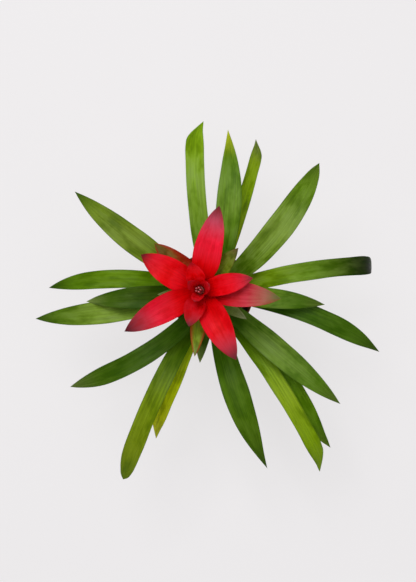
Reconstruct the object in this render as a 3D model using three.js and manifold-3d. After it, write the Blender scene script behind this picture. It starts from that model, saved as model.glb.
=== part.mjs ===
// A scarlet-star bromeliad in a nursery pot: arching strap leaves in a tank-shaped
// rosette, and a leaning flower stalk that carries green bracts and a red star of bracts.
// Millimetres, +Z up. The origin is the centre of the pot's base, and +Y is north.

import * as THREE from "three";
import { mergeVertices } from "three/addons/utils/BufferGeometryUtils.js";
import Module from "manifold-3d";

const wasm = await Module();
wasm.setup();

// ---- driving dimensions ----

const CLEARANCE = 0.3; // left between pieces that rest on each other

// Nursery pot
const POT_HEIGHT = 98;
const POT_BASE_RADIUS = 39;
const POT_RIM_RADIUS = 55;
const POT_WALL = 1.5;
const POT_FLOOR = 2;
const POT_EDGE = 2; // bevel round the base
const RIM_BAND_HEIGHT = 15;
const RIM_BAND_STEP = 1.6; // how far the rim band stands out from the wall below it
const DRAIN_HOLE_RADIUS = 4;
const DRAIN_HOLE_CIRCLE = 26;
const DRAIN_HOLE_COUNT = 6;

// Potting mix
const MIX_BELOW_RIM = 13;
const MIX_RISE = 2.5; // the mix is this much higher at the plant than at the wall

// Rootstock, the short stem that every leaf grows from
const ROOT_DEPTH = 26;
const ROOT_RADIUS = 11;
const SHOULDER_DEPTH = 4;
const CROWN_SLOPE = 0.36; // fall per millimetre outwards

// Flower stalk
const STALK_RADIUS = 4.5;
const STALK_LENGTH = 180;
const STALK_LEAN = 15; // how far its top stands out of plumb
const STALK_BEARING = 162;
const STALK_BEND = 1.5; // 1 is straight, more is bent higher up

const FIRST_BRACT_HEIGHT = 14; // the lowest green bract, above the stalk's foot
const LAST_BRACT_DROP = 36; // the highest green bract, below the stalk's end

// Leaves
const LEAF_THICKNESS = 0.8;
const SHEATH_GAP = 0.6; // between one sheath and the next one outwards, with room for facets
const LEAF_FIRST_GAP = 1.6; // from the stalk to the innermost sheath
const SHEATH_LENGTH = 50;
const SHEATH_HALF_WIDTH = 25;
const SHEATH_HALF_ANGLE = 74; // the most that a sheath wraps round, each way
const WAIST_HALF_WIDTH = 10.5;
const RISE_INNER = 74; // slope of the innermost leaf where it leaves its sheath
const RISE_STEP = 1.4; // each leaf outwards leans out this much more
const CHANNEL_RADIUS = 32;

// Bracts
const BRACT_THICKNESS = 0.6;
const BRACT_CHANNEL_RADIUS = 26;
const BRACT_SEAT_GAP = 0.45; // room for the facets of a bract that wraps the stalk
const STAR_BRACT_GAP = 0.95; // between two nested star bracts
const STAR_BRACT_DROP = 9; // from the stalk's end down to the highest star bract

// Flowers
const FLOWER_COUNT = 5;
const FLOWER_RADIUS = 1.2;
const FLOWER_CIRCLE = 2.6;
const FLOWER_LENGTH = 24;

// The leaves, from the heart outwards. Angles in degrees, anticlockwise from east.
// bearing: direction at the root      reach: from the axis to the tip, seen from above
// sweep: sideways drift at the tip    half: half of the greatest width
// fall: slope at the tip              taper: share of the blade that narrows to the tip
// blunt: 0.5 is a round end, 1.5 a long point       skew: leans the point to one margin
// droop: extra fall over the last of the blade      roll: twist of the blade at the tip
// full: share of the blade by which it reaches its full width
// waistHalf: half of the width where the blade leaves its sheath
const LEAVES = {
  leaf_east_upper: { bearing: -3, reach: 143, sweep: -6, half: 13, fall: -26 },
  leaf_west_upper: { bearing: -178, reach: 160, sweep: 4, half: 14.4, fall: -36 },
  leaf_north_upper: { bearing: 74, reach: 206, sweep: 38, half: 16.2, fall: -36, blunt: 1.2 },
  leaf_southeast_upper: { bearing: -41.4, reach: 213, sweep: 3, half: 16, fall: -30 },
  leaf_northeast: { bearing: 37.7, reach: 208, sweep: 48, half: 17.2, fall: -28, taper: 0.4, blunt: 0.8 },
  leaf_southwest_upper: { bearing: -129, reach: 206, sweep: -66, half: 12.5, fall: -38, taper: 0.3 },
  leaf_northwest: { bearing: 148, reach: 217, sweep: -18, half: 16.3, fall: -34 },
  leaf_south: { bearing: -80, reach: 232, sweep: 31, half: 17, fall: -38, blunt: 1.3 },
  leaf_east: {
    bearing: 17, reach: 208, sweep: -25, half: 11.7, fall: -42, taper: 0.1, blunt: 0.5, droop: 35,
  },
  leaf_west: { bearing: 163.5, reach: 203, sweep: 52, half: 11.6, fall: -38, taper: 0.35 },
  leaf_north: {
    bearing: 102, reach: 219, sweep: -25, half: 12, fall: -36, taper: 0.16, skew: -0.9, roll: -14, full: 0.3,
  },
  leaf_south_southwest: {
    bearing: -122.5, reach: 263, sweep: 32, half: 12.4, fall: -40, taper: 0.2, blunt: 0.6, roll: 16,
  },
  leaf_southeast_long: {
    bearing: -51, reach: 263, sweep: -28, half: 11, fall: -36, taper: 0.12, skew: -0.8, roll: -28,
  },
  leaf_east_lower: {
    bearing: -5, reach: 223, sweep: -56, half: 12.4, fall: -42, taper: 0.35, blunt: 1.2, full: 0.3,
  },
  leaf_west_lower: { bearing: -169, reach: 231, sweep: -12, half: 15, fall: -42 },
  leaf_north_lower: {
    bearing: 70, reach: 206, sweep: 9, half: 8.8, fall: -44, taper: 0.15, skew: 0.8, roll: 34,
  },
  leaf_south_lower: {
    bearing: -114, reach: 200, sweep: 4, half: 10, fall: -46, taper: 0.25, skew: 0.7, roll: 24, waistHalf: 7,
  },
  leaf_southeast_lower: {
    bearing: -42, reach: 246, sweep: -53, half: 10.5, fall: -44, taper: 0.3, skew: 0.8,
  },
};

// Green bracts up the stalk, from the lowest. They are evenly spaced between the two ends.
const STALK_BRACTS = {
  stalk_bract_1: { bearing: 60, reach: 15, half: 7.5, rise: 84, fall: 62 },
  stalk_bract_2: { bearing: -84, reach: 17, half: 7.5, rise: 83, fall: 60 },
  stalk_bract_3: { bearing: 132, reach: 19, half: 7.5, rise: 82, fall: 58 },
  stalk_bract_4: { bearing: -12, reach: 24, half: 7.5, rise: 80, fall: 50 },
  stalk_bract_5: { bearing: -95, reach: 88, half: 12, rise: 66, fall: -8 },
  stalk_bract_6: { bearing: -177, reach: 60, half: 9, rise: 66, fall: 0 },
  stalk_bract_7: { bearing: -33, reach: 62, half: 9.5, rise: 64, fall: -4 },
  stalk_bract_8: { bearing: -97, reach: 80, half: 11.5, rise: 62, fall: -8 },
  stalk_bract_9: { bearing: 131.5, reach: 81, sweep: 5, half: 16.5, rise: 60, fall: -8 },
  stalk_bract_10: { bearing: 48, reach: 68, half: 13, rise: 60, fall: -6 },
};

// The red star, from its lowest bract to its highest one.
const STAR_BRACTS = {
  star_bract_east_lower: { bearing: -6, reach: 97, half: 16, fall: -22 },
  star_bract_northwest: { bearing: 149, reach: 83, half: 18, fall: -14 },
  star_bract_south: { bearing: -62, reach: 94, half: 18, fall: -16 },
  star_bract_north: { bearing: 76.5, reach: 103, half: 18, fall: -18 },
  star_bract_west: { bearing: -151, reach: 102, half: 17, fall: -18 },
  star_bract_east_upper: { bearing: 12, reach: 66, half: 13, fall: -6 },
};

// Star bracts spread at once, so that they nest like stacked cones.
const STAR_BRACT_SHAPE = { rootSlope: 50, rise: 42, sheath: 12, waistHalf: 11, full: 0.3 };

// The upright bracts in the heart of the star. drop is measured down from the stalk's end.
const HEART_BRACTS = {
  heart_bract_south: { drop: 6.6, bearing: -104, reach: 45, half: 13, rise: 52, fall: 8 },
  heart_bract_north: { drop: 4.6, bearing: 104, reach: 33, half: 12, rise: 62, fall: 28 },
  cup_bract_east: { drop: 2, bearing: 20, reach: 16, half: 8, rise: 78, fall: 62, wrap: 44 },
  cup_bract_south: { drop: 2, bearing: -100, reach: 15, half: 7.5, rise: 79, fall: 64, wrap: 44 },
  cup_bract_west: { drop: 2, bearing: 140, reach: 14, half: 7.5, rise: 80, fall: 66, wrap: 44 },
};

// ---- sizes that follow from them ----

const MIX_EDGE_HEIGHT = POT_HEIGHT - MIX_BELOW_RIM;
const MIX_CENTRE_HEIGHT = MIX_EDGE_HEIGHT + MIX_RISE;
const LEAF_PITCH = LEAF_THICKNESS + SHEATH_GAP;
const FIRST_SHEATH_RADIUS = STALK_RADIUS + LEAF_FIRST_GAP;
const CROWN_RADIUS = FIRST_SHEATH_RADIUS + LEAF_PITCH * Object.keys(LEAVES).length;
const CROWN_TOP = MIX_CENTRE_HEIGHT + CROWN_SLOPE * (CROWN_RADIUS - FIRST_SHEATH_RADIUS);
const BRACT_ROOT_RADIUS = STALK_RADIUS + BRACT_SEAT_GAP + BRACT_THICKNESS / 2;
const STAR_BRACT_PITCH =
  (BRACT_THICKNESS + STAR_BRACT_GAP) / Math.cos(THREE.MathUtils.degToRad(STAR_BRACT_SHAPE.rootSlope));
const BODY_RIM_RADIUS = POT_RIM_RADIUS - RIM_BAND_STEP;

// ---- materials ----

const material = (color, roughness) => new THREE.MeshStandardMaterial({ color, roughness, metalness: 0 });
const terracottaPlastic = material("#8a4a33", 0.6);
const pottingMix = material("#3a2a1e", 0.95);
const rootstockSkin = material("#6d6a3c", 0.8);
const stalkSkin = material("#6f7a34", 0.55);
const leafSkin = material("#5f7d20", 0.42);
const stalkBractSkin = material("#7b7a34", 0.45);
const starBractSkin = material("#d2081f", 0.4);
const flowerSkin = material("#f0c9c4", 0.5);

// ---- helpers ----

const radians = THREE.MathUtils.degToRad;
const { lerp, smoothstep, clamp } = THREE.MathUtils;

function meshOf(name, geometry, skin) {
  const mesh = new THREE.Mesh(geometry, skin);
  mesh.name = name;
  return mesh;
}

function lathe(profile, segments) {
  const points = profile.map(([radius, height]) => new THREE.Vector2(radius, height));
  return new THREE.LatheGeometry(points, segments).rotateX(Math.PI / 2);
}

function toSolid(geometry) {
  const bare = geometry.clone();
  bare.deleteAttribute("normal");
  bare.deleteAttribute("uv");
  const merged = mergeVertices(bare, 1e-4);
  return new wasm.Manifold(new wasm.Mesh({
    numProp: 3,
    vertProperties: new Float32Array(merged.attributes.position.array),
    triVerts: new Uint32Array(merged.index.array),
  }));
}

function toGeometry(solid) {
  const mesh = solid.getMesh();
  const geometry = new THREE.BufferGeometry();
  geometry.setAttribute("position", new THREE.BufferAttribute(mesh.vertProperties, 3));
  geometry.setIndex(new THREE.BufferAttribute(mesh.triVerts, 1));
  return geometry;
}

// ---- a leaf or a bract ----

// Both are one thin strap. It starts as a sheath that wraps the vertical axis, and goes on
// as a channelled blade. Rings of points run round its section, and the tip is one point.
const HALF_SEGMENTS = 3;
const PATH_STEPS = 240;

function slopeAt(blade, along) {
  if (along < blade.sheath) {
    return lerp(blade.rootSlope, blade.rise, (along / blade.sheath) ** 1.5);
  }
  const share = (along - blade.sheath) / blade.bladeLength;
  const droop = blade.droop * smoothstep(share, 0.8, 1);
  return lerp(blade.rise, blade.fall, share ** blade.bend) - droop;
}

// Finds the blade's length from the reach that it must have, seen from above.
function findBladeLength(blade) {
  let sheathReach = blade.rootRadius;
  let meanCosine = 0;
  const unitBlade = { ...blade, bladeLength: 1 };
  for (let step = 0; step < PATH_STEPS; step++) {
    const share = (step + 0.5) / PATH_STEPS;
    const sheathSlope = radians(slopeAt(unitBlade, share * blade.sheath));
    sheathReach += (Math.cos(sheathSlope) * blade.sheath) / PATH_STEPS;
    meanCosine += Math.cos(radians(slopeAt(unitBlade, blade.sheath + share))) / PATH_STEPS;
  }
  return (blade.reach - sheathReach) / meanCosine;
}

// Walks the midline and notes distance from the axis, height and slope at each stop.
function walkMidline(blade) {
  const total = blade.sheath + blade.bladeLength;
  const stride = total / PATH_STEPS;
  const stops = [{ along: 0, out: blade.rootRadius, up: blade.rootHeight, slope: blade.rootSlope }];
  for (let step = 0; step < PATH_STEPS; step++) {
    const last = stops[step];
    const middleSlope = radians(slopeAt(blade, (step + 0.5) * stride));
    const along = (step + 1) * stride;
    stops.push({
      along,
      out: last.out + Math.cos(middleSlope) * stride,
      up: last.up + Math.sin(middleSlope) * stride,
      slope: slopeAt(blade, along),
    });
  }
  return stops;
}

function midlineAt(stops, along) {
  const place = clamp(along / stops[PATH_STEPS].along, 0, 1) * PATH_STEPS;
  const index = Math.min(Math.floor(place), PATH_STEPS - 1);
  const share = place - index;
  const [before, after] = [stops[index], stops[index + 1]];
  return {
    out: lerp(before.out, after.out, share),
    up: lerp(before.up, after.up, share),
    slope: radians(lerp(before.slope, after.slope, share)),
  };
}

function halfWidthAt(blade, along) {
  const waistAt = blade.sheath * 1.2;
  const sheathEnd = smoothstep(along, 0, waistAt);
  const share = clamp((along - blade.sheath) / blade.bladeLength, 0, 1);
  const blend = smoothstep(share, 0, blade.full);
  const body = lerp(lerp(blade.sheathHalf, blade.waistHalf, sheathEnd), blade.half, blend);
  const narrowing = clamp((share - 1 + blade.taper) / blade.taper, 0, 1);
  return body * (1 - narrowing ** 2) ** blade.blunt;
}

function ringAt(blade, stops, along) {
  const { out, up, slope } = midlineAt(stops, along);
  const share = clamp((along - blade.sheath) / blade.bladeLength, 0, 1);
  const span = blade.reach - blade.rootRadius;
  const travel = Math.max(out - blade.rootRadius, 0) / span;
  const drift = blade.sweep * travel ** 2;
  const heading = radians(blade.bearing) + Math.atan((2 * blade.sweep * travel) / span);
  const root = radians(blade.bearing);
  const centre = new THREE.Vector3(
    Math.cos(root) * out - Math.sin(root) * drift,
    Math.sin(root) * out + Math.cos(root) * drift,
    up,
  );
  const forward = new THREE.Vector3(Math.cos(heading), Math.sin(heading), 0);
  const side = new THREE.Vector3(-forward.y, forward.x, 0);
  const bladeUp = forward.clone().multiplyScalar(-Math.sin(slope));
  bladeUp.z = Math.cos(slope);
  const freed = smoothstep(along, blade.sheath * 0.7, blade.sheath * 1.7);
  const inward = forward.clone().negate().lerp(bladeUp, freed).normalize();
  const roll = radians(blade.roll) * smoothstep(share, 0.1, 1);
  const tangent = new THREE.Vector3().crossVectors(side, inward);
  side.applyAxisAngle(tangent, roll);
  inward.applyAxisAngle(tangent, roll);

  const half = halfWidthAt(blade, along);
  const shift = blade.skew * (blade.half - half) * smoothstep(share, 1 - blade.taper, 1);
  const curvature = lerp(1 / out, 1 / blade.channel, freed) * lerp(1, 0.4, share);
  const place = (across, lift) => {
    const angle = (across * half + shift) * curvature;
    const arcOut = Math.sin(angle) / curvature;
    const arcUp = (1 - Math.cos(angle)) / curvature;
    return centre.clone()
      .addScaledVector(side, arcOut - Math.sin(angle) * lift)
      .addScaledVector(inward, arcUp + Math.cos(angle) * lift);
  };
  const points = [];
  for (let column = -HALF_SEGMENTS; column <= HALF_SEGMENTS; column++) {
    const across = column / HALF_SEGMENTS;
    points.push(place(across, (blade.thickness / 2) * Math.sqrt(1 - across ** 2)));
  }
  for (let column = HALF_SEGMENTS - 1; column > -HALF_SEGMENTS; column--) {
    const across = column / HALF_SEGMENTS;
    points.push(place(across, (-blade.thickness / 2) * Math.sqrt(1 - across ** 2)));
  }
  return points;
}

function stationsOf(blade) {
  const stations = [];
  for (let step = 0; step < blade.sheathSteps; step++) {
    stations.push((blade.sheath * step) / blade.sheathSteps);
  }
  const bodyLength = blade.bladeLength * (1 - blade.taper);
  for (let step = 0; step < blade.bodySteps; step++) {
    stations.push(blade.sheath + (bodyLength * step) / blade.bodySteps);
  }
  for (let step = 0; step < blade.tipSteps; step++) {
    const share = Math.sin((step / blade.tipSteps) * (Math.PI / 2));
    const even = step / blade.tipSteps;
    const sharp = clamp(blade.blunt - 0.5, 0, 1);
    stations.push(blade.sheath + bodyLength + blade.bladeLength * blade.taper * lerp(share, even, sharp));
  }
  return stations;
}

function bladeGeometry(settings) {
  const blade = { ...settings, bladeLength: findBladeLength(settings) };
  const stops = walkMidline(blade);
  const stations = stationsOf(blade);
  const rings = stations.map((along) => ringAt(blade, stops, along));
  const ringSize = 4 * HALF_SEGMENTS;
  const points = rings.flat();
  const tip = points.length;
  const tipRing = ringAt({ ...blade, thickness: 0 }, stops, blade.sheath + blade.bladeLength);
  points.push(tipRing[HALF_SEGMENTS]);

  const index = [];
  for (let ring = 0; ring < rings.length - 1; ring++) {
    for (let place = 0; place < ringSize; place++) {
      const next = (place + 1) % ringSize;
      const [a, b] = [ring * ringSize + place, ring * ringSize + next];
      index.push(a, b + ringSize, b);
      index.push(a, a + ringSize, b + ringSize);
    }
  }
  const lastRing = (rings.length - 1) * ringSize;
  for (let place = 0; place < ringSize; place++) {
    index.push(lastRing + place, tip, lastRing + ((place + 1) % ringSize));
  }
  for (let place = 0; place < ringSize / 2; place++) {
    const [upper, upperNext] = [place, place + 1];
    const [lower, lowerNext] = [(ringSize - place) % ringSize, ringSize - place - 1];
    if (upperNext !== lowerNext) {
      index.push(upper, upperNext, lowerNext);
    }
    if (upper !== lower) {
      index.push(upper, lowerNext, lower);
    }
  }
  const geometry = new THREE.BufferGeometry();
  const numbers = points.flatMap((point) => point.toArray());
  geometry.setAttribute("position", new THREE.Float32BufferAttribute(numbers, 3));
  geometry.setIndex(index);
  geometry.computeVertexNormals();
  return geometry;
}

// ---- pot ----

function buildPot() {
  const wallTop = POT_HEIGHT - RIM_BAND_HEIGHT;
  const innerBase = POT_BASE_RADIUS - POT_WALL;
  const profile = [
    [0, 0],
    [POT_BASE_RADIUS - POT_EDGE, 0],
    [POT_BASE_RADIUS, POT_EDGE],
    [BODY_RIM_RADIUS, wallTop],
    [POT_RIM_RADIUS, wallTop],
    [POT_RIM_RADIUS, POT_HEIGHT],
    [POT_RIM_RADIUS - POT_WALL, POT_HEIGHT],
    [POT_RIM_RADIUS - POT_WALL, wallTop + POT_WALL],
    [BODY_RIM_RADIUS - POT_WALL, wallTop + POT_WALL],
    [innerBase, POT_FLOOR + POT_EDGE],
    [innerBase - POT_EDGE, POT_FLOOR],
    [0, POT_FLOOR],
  ];
  let pot = toSolid(lathe(profile, 48));
  for (let hole = 0; hole < DRAIN_HOLE_COUNT; hole++) {
    const angle = (hole / DRAIN_HOLE_COUNT) * Math.PI * 2;
    const drill = new THREE.CylinderGeometry(DRAIN_HOLE_RADIUS, DRAIN_HOLE_RADIUS, POT_FLOOR * 4, 16);
    drill.rotateX(Math.PI / 2);
    drill.translate(Math.cos(angle) * DRAIN_HOLE_CIRCLE, Math.sin(angle) * DRAIN_HOLE_CIRCLE, 0);
    pot = pot.subtract(toSolid(drill));
  }
  return meshOf("nursery_pot", toGeometry(pot), terracottaPlastic);
}

// Inner radius of the pot's tapered wall at a height.
function potInnerRadius(height) {
  const share = (height - POT_EDGE) / (POT_HEIGHT - RIM_BAND_HEIGHT - POT_EDGE);
  return lerp(POT_BASE_RADIUS, BODY_RIM_RADIUS, share) - POT_WALL;
}

// ---- potting mix and rootstock ----

const ROOT_BOTTOM = MIX_CENTRE_HEIGHT - ROOT_DEPTH;
const SHOULDER_HEIGHT = MIX_CENTRE_HEIGHT - SHOULDER_DEPTH;

function buildMix() {
  const wallGap = CLEARANCE * 2;
  const shelf = POT_HEIGHT - RIM_BAND_HEIGHT + POT_WALL + wallGap;
  const floor = POT_FLOOR + CLEARANCE;
  const profile = [
    [0, floor],
    [potInnerRadius(floor) - POT_EDGE - wallGap, floor],
    [potInnerRadius(POT_FLOOR + POT_EDGE) - wallGap, POT_FLOOR + POT_EDGE],
    [potInnerRadius(shelf - 2 * wallGap) - wallGap, shelf - 2 * wallGap],
    [potInnerRadius(MIX_EDGE_HEIGHT - wallGap) - wallGap, MIX_EDGE_HEIGHT],
    [CROWN_RADIUS + CLEARANCE, MIX_CENTRE_HEIGHT],
    [CROWN_RADIUS + CLEARANCE, SHOULDER_HEIGHT - CLEARANCE],
    [ROOT_RADIUS + CLEARANCE, SHOULDER_HEIGHT - CLEARANCE],
    [ROOT_RADIUS + CLEARANCE, ROOT_BOTTOM - CLEARANCE],
    [0, ROOT_BOTTOM - CLEARANCE],
  ];
  return meshOf("potting_mix", lathe(profile, 48), pottingMix);
}

function buildRootstock() {
  const profile = [
    [0, ROOT_BOTTOM],
    [ROOT_RADIUS, ROOT_BOTTOM],
    [ROOT_RADIUS, SHOULDER_HEIGHT],
    [CROWN_RADIUS, SHOULDER_HEIGHT],
    [CROWN_RADIUS, MIX_CENTRE_HEIGHT],
    [FIRST_SHEATH_RADIUS, CROWN_TOP],
    [0, CROWN_TOP],
  ];
  return meshOf("rootstock", lathe(profile, 40), rootstockSkin);
}

// ---- rosette of leaves ----

function buildLeaf(leaf, layer) {
  const rootRadius = FIRST_SHEATH_RADIUS + LEAF_PITCH * (layer + 0.5);
  const highestSeat = LEAF_PITCH * (layer + 0.5) - LEAF_THICKNESS / 2;
  const wrap = Math.min(radians(SHEATH_HALF_ANGLE) * rootRadius, SHEATH_HALF_WIDTH);
  return bladeGeometry({
    sheath: SHEATH_LENGTH,
    sheathHalf: wrap,
    waistHalf: Math.min(WAIST_HALF_WIDTH, leaf.half),
    rootRadius,
    rootHeight: CLEARANCE - CROWN_SLOPE * highestSeat,
    rootSlope: 86,
    rise: RISE_INNER - RISE_STEP * layer,
    bend: 0.75,
    thickness: LEAF_THICKNESS,
    channel: CHANNEL_RADIUS,
    taper: 0.5,
    blunt: 1,
    skew: 0,
    droop: 0,
    roll: 0,
    full: 0.5,
    sheathSteps: 5,
    bodySteps: 7,
    tipSteps: 4,
    ...leaf,
  });
}

function buildRosette() {
  const rosette = new THREE.Group();
  rosette.position.z = CROWN_TOP;
  Object.entries(LEAVES).forEach(([name, leaf], layer) => {
    rosette.add(meshOf(name, buildLeaf(leaf, layer), leafSkin));
  });
  return rosette;
}

// ---- flower stalk ----

function stalkPoint(height) {
  const lean = STALK_LEAN * (height / STALK_LENGTH) ** STALK_BEND;
  const bearing = radians(STALK_BEARING);
  return new THREE.Vector3(Math.cos(bearing) * lean, Math.sin(bearing) * lean, height);
}

// A group that stands on the stalk at a height, with its own Z along the stalk.
function stalkPlace(height) {
  const along = stalkPoint(height).sub(stalkPoint(height - 1)).normalize();
  const place = new THREE.Group();
  place.position.copy(stalkPoint(height));
  place.quaternion.setFromUnitVectors(new THREE.Vector3(0, 0, 1), along);
  return place;
}

function buildStalk() {
  const steps = 12;
  const points = Array.from({ length: steps + 1 }, (_, step) => stalkPoint((STALK_LENGTH * step) / steps));
  const outline = new THREE.Shape().absarc(0, 0, STALK_RADIUS, 0, Math.PI * 2);
  const geometry = new THREE.ExtrudeGeometry(outline, {
    extrudePath: new THREE.CatmullRomCurve3(points),
    curveSegments: 12,
    steps,
  });
  return meshOf("flower_stalk", geometry, stalkSkin);
}

function bractGeometry(bract) {
  return bladeGeometry({
    sheath: 9,
    sheathHalf: radians(bract.wrap ?? 72) * BRACT_ROOT_RADIUS,
    waistHalf: Math.min(8, bract.half),
    rootRadius: BRACT_ROOT_RADIUS,
    rootHeight: 0,
    rootSlope: 84,
    bend: 0.9,
    thickness: BRACT_THICKNESS,
    channel: BRACT_CHANNEL_RADIUS,
    sweep: 0,
    skew: 0,
    droop: 0,
    roll: 0,
    full: 0.32,
    taper: 0.65,
    blunt: 0.9,
    sheathSteps: 2,
    bodySteps: 3,
    tipSteps: 4,
    ...bract,
  });
}

function bractOnStalk(name, bract, height, skin) {
  const place = stalkPlace(height);
  place.add(meshOf(name, bractGeometry(bract), skin));
  return place;
}

function buildFlower(index) {
  const angle = (index / FLOWER_COUNT) * Math.PI * 2;
  const profile = [
    [0, 0],
    [FLOWER_RADIUS * 0.7, 0],
    [FLOWER_RADIUS, FLOWER_LENGTH * 0.5],
    [FLOWER_RADIUS, FLOWER_LENGTH * 0.85],
    [0, FLOWER_LENGTH],
  ];
  const flower = meshOf(`flower_${index + 1}`, lathe(profile, 10), flowerSkin);
  flower.position.set(Math.cos(angle) * FLOWER_CIRCLE, Math.sin(angle) * FLOWER_CIRCLE, CLEARANCE);
  return flower;
}

function buildFlowerHead() {
  const head = new THREE.Group();
  head.position.z = CROWN_TOP + CLEARANCE;
  head.add(buildStalk());
  Object.entries(STALK_BRACTS).forEach(([name, bract], index, all) => {
    const share = index / (all.length - 1);
    const height = lerp(FIRST_BRACT_HEIGHT, STALK_LENGTH - LAST_BRACT_DROP, share);
    head.add(bractOnStalk(name, bract, height, stalkBractSkin));
  });
  Object.entries(STAR_BRACTS).forEach(([name, bract], index, all) => {
    const drop = STAR_BRACT_DROP + STAR_BRACT_PITCH * (all.length - 1 - index);
    const spread = { ...STAR_BRACT_SHAPE, ...bract };
    head.add(bractOnStalk(name, spread, STALK_LENGTH - drop, starBractSkin));
  });
  for (const [name, bract] of Object.entries(HEART_BRACTS)) {
    const upright = { rootSlope: Math.min(bract.rise + 6, 85), ...bract };
    head.add(bractOnStalk(name, upright, STALK_LENGTH - bract.drop, starBractSkin));
  }
  const top = stalkPlace(STALK_LENGTH);
  for (let index = 0; index < FLOWER_COUNT; index++) {
    top.add(buildFlower(index));
  }
  head.add(top);
  return head;
}

// ---- the whole plant in its pot ----

const pottedBromeliad = new THREE.Group();
pottedBromeliad.add(buildPot(), buildMix(), buildRootstock(), buildRosette(), buildFlowerHead());

export default pottedBromeliad;
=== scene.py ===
"""Looks for a potted scarlet-star bromeliad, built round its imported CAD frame.

Metres, +Z up, in the frame's own axes. Every leaf and bract is a fine thin surface that
follows its CAD solid; the pot, soil, stem, stalk and flowers are rebuilt smooth as well.
"""

import math
import random

import bmesh
import bpy
import numpy as np
from mathutils import Matrix, Vector, noise


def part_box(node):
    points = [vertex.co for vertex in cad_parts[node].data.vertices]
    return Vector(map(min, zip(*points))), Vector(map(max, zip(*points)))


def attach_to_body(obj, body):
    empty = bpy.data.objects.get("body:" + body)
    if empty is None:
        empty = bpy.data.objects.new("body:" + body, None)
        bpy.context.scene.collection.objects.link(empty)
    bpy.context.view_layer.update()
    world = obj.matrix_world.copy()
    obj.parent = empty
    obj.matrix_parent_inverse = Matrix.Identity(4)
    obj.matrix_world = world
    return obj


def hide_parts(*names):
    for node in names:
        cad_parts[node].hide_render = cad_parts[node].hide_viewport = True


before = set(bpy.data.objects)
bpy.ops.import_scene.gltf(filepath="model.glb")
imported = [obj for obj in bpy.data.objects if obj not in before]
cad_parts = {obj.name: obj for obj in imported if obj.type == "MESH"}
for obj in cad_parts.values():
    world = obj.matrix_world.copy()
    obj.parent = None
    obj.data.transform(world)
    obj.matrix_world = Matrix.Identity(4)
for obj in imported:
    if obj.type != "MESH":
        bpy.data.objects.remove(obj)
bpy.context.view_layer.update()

MM = 0.001

# ---- camera ----

CAMERA_PLACE = (-0.005, 0.00375, 1.9)
CAMERA_LENS = 84.12

# ---- blades ----

RING_SIZE = 12  # points round a CAD blade's section
COLUMNS = 7  # of them, those on its upper side
WELD = 1e7  # CAD points that round to the same ten-millionths of a metre are one
ROW_CROWDING = 1.4  # above 1, a fine blade's rows crowd towards its tip
LEAF_THICKNESS = 0.8 * MM
BRACT_THICKNESS = 0.6 * MM
LEAF_GRID = (110, 23)  # rows along a fine blade and columns across it
RED_BRACT_GRID = (60, 21)
STALK_BRACT_GRID = (56, 19)

# Each blade has its own whole seed for its waves, and a multiple of it moves its skin's noise.
LEAF_FIRST_SEED = 0
LEAF_SKIN_STEP = 7.3
RED_BRACT_FIRST_SEED = 40
RED_BRACT_SKIN_STEP = 5.1
STALK_BRACT_FIRST_SEED = 70
STALK_BRACT_SKIN_STEP = 4.7

# ---- small helpers ----


def linear(text):
    """A hex sRGB colour as linear RGBA."""
    channels = [int(text[i : i + 2], 16) / 255 for i in (1, 3, 5)]
    return (*[c / 12.92 if c <= 0.04045 else ((c + 0.055) / 1.055) ** 2.4 for c in channels], 1.0)


def smoothstep(value, low, high):
    """0 below low, 1 above high, and an easy curve between them."""
    share = np.clip((value - low) / (high - low), 0, 1)
    return share * share * (3 - 2 * share)


def object_from(name, points, faces, materials, face_materials=None, uv=None):
    """A smooth-shaded mesh object, linked to the scene."""
    mesh = bpy.data.meshes.new(name)
    mesh.from_pydata([tuple(p) for p in points], [], faces)
    mesh.shade_smooth()
    for material in materials:
        mesh.materials.append(material)
    if face_materials is not None:
        mesh.polygons.foreach_set("material_index", face_materials)
    if uv is not None:
        layer = mesh.uv_layers.new(name="UVMap")
        corners = np.empty(len(mesh.loops), np.int32)
        mesh.loops.foreach_get("vertex_index", corners)
        layer.data.foreach_set("uv", np.asarray(uv, np.float32)[corners].ravel())
    mesh.update()
    piece = bpy.data.objects.new(name, mesh)
    bpy.context.scene.collection.objects.link(piece)
    return piece


def attach(piece, slot, *nodes):
    """The piece rides on the one body and stands for the nodes, which are hidden. The slot is not
    used.
    """
    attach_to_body(piece, "root")
    if nodes:
        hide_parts(*nodes)
    return piece


def sharpen(piece, degrees):
    """Keeps edges steeper than this sharp in a smooth-shaded piece."""
    work = bmesh.new()
    work.from_mesh(piece.data)
    limit = math.radians(degrees)
    for edge in work.edges:
        edge.smooth = len(edge.link_faces) == 2 and edge.calc_face_angle(0) < limit
    work.to_mesh(piece.data)
    work.free()


def cubic(values, knots, at):
    """Smooth interpolation of rows of values, given at uneven knots."""
    slopes = np.gradient(values, knots, axis=0)
    index = np.clip(np.searchsorted(knots, at, side="right") - 1, 0, len(knots) - 2)
    step = knots[index + 1] - knots[index]
    shape = (-1,) + (1,) * (values.ndim - 1)
    t = ((at - knots[index]) / step).reshape(shape)
    step = step.reshape(shape)
    return (
        (2 * t**3 - 3 * t**2 + 1) * values[index]
        + (t**3 - 2 * t**2 + t) * step * slopes[index]
        + (3 * t**2 - 2 * t**3) * values[index + 1]
        + (t**3 - t**2) * step * slopes[index + 1]
    )


# ---- shader graphs ----


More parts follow.
